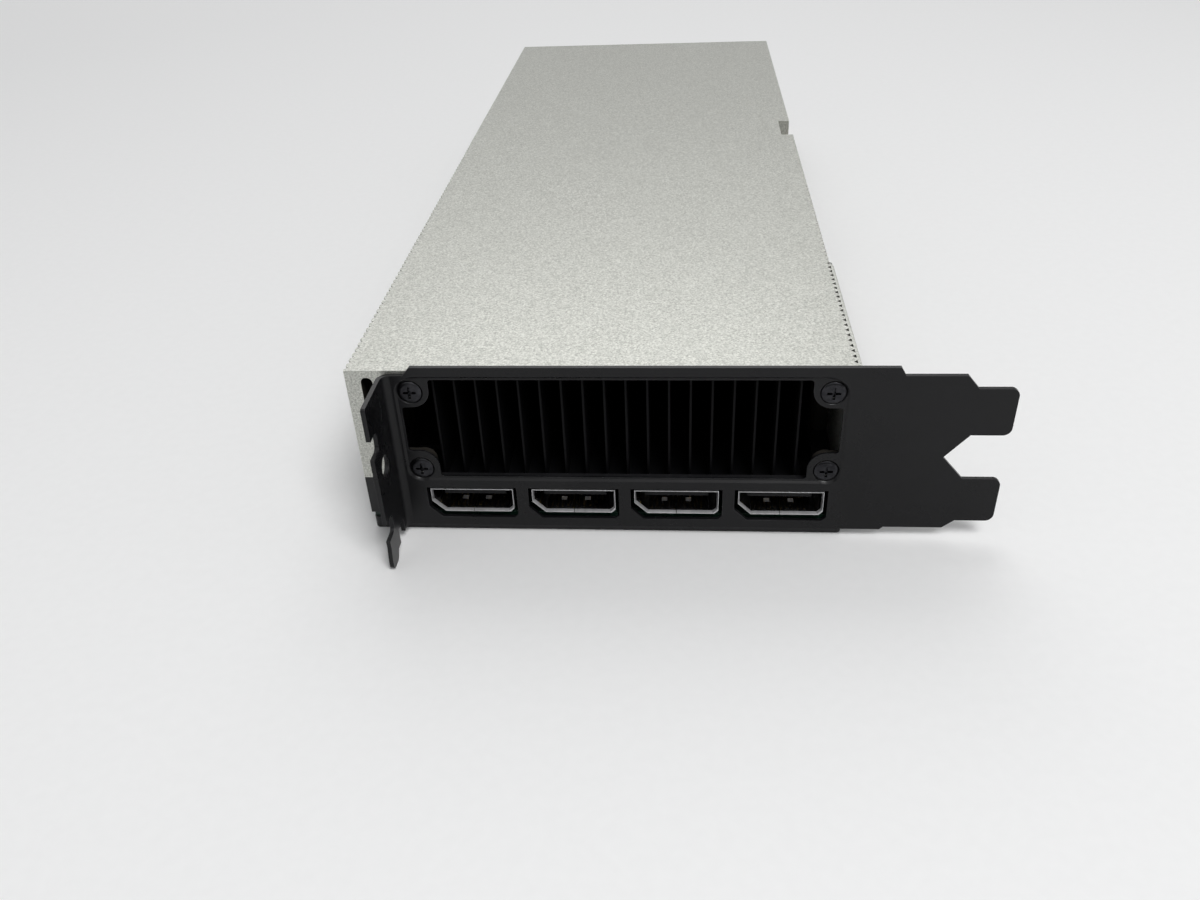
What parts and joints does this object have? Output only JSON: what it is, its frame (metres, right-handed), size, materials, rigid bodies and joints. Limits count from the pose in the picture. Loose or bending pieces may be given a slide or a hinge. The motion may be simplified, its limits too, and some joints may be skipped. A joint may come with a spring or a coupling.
{
  "type": "passive accelerator card",
  "caption": "Dual-slot passively cooled accelerator card: slotted end bracket with ports and vent, ribbed metal shroud over a fin stack, and an edge connector.",
  "frame": {"origin": "middle of the overall bounding box, on the plane of the backplate's underside that the card rests on", "axes": "+Y along the card from the bracket to the far end, +Z from the backplate up through the shroud's top, +X from the flange towards the edge connector and the bracket's tongues"},
  "size_m": [0.1268, 0.2806, 0.0393],
  "materials": {
    "shroud": "bead-blasted satin",
    "strip": "satin",
    "bracket": "semi-gloss black",
    "frame": "satin black",
    "backplate": "matte black",
    "board": "solder-masked laminate",
    "gold": "gold plated",
    "package": "laminate",
    "silicon": "polished",
    "chip": "moulded",
    "pad": "soft",
    "coil": "pressed powder",
    "can": "satin",
    "chamber": "copper, satin",
    "fins": "black coated",
    "steel": "satin",
    "screw": "black oxide",
    "port_shell": "nickel plated",
    "port_core": "moulded",
    "inlet": "moulded",
    "tin": "tin plated"
  },
  "bodies": {
    "root": {"backplate": "backplate", "circuit_board": "board", "edge_contacts": "gold", "gpu_package": "package", "gpu_die": "silicon", "memory_chips": "chip", "memory_thermal_pads": "pad", "inductors": "coil", "power_stages": "chip", "power_stage_thermal_pads": "pad", "capacitors": "can", "controller_chips": "chip", "middle_frame": "frame", "vapour_chamber": "chamber", "fin_stack": "fins", "retention_spring": "steel", "spring_screws": "screw", "shroud": "shroud", "side_strip": "strip", "bracket": "bracket", "bracket_screws": "screw", "backplate_screws": "screw", "end_plate": "frame", "end_plate_screws": "screw", "power_inlet": "inlet", "power_inlet_pins": "tin", "video_port_1_shell": "port_shell", "video_port_1_core": "port_core", "video_port_1_contacts": "gold", "video_port_2_shell": "port_shell", "video_port_2_core": "port_core", "video_port_2_contacts": "gold", "video_port_3_shell": "port_shell", "video_port_3_core": "port_core", "video_port_3_contacts": "gold", "video_port_4_shell": "port_shell", "video_port_4_core": "port_core", "video_port_4_contacts": "gold"}
  },
  "joints": []
}
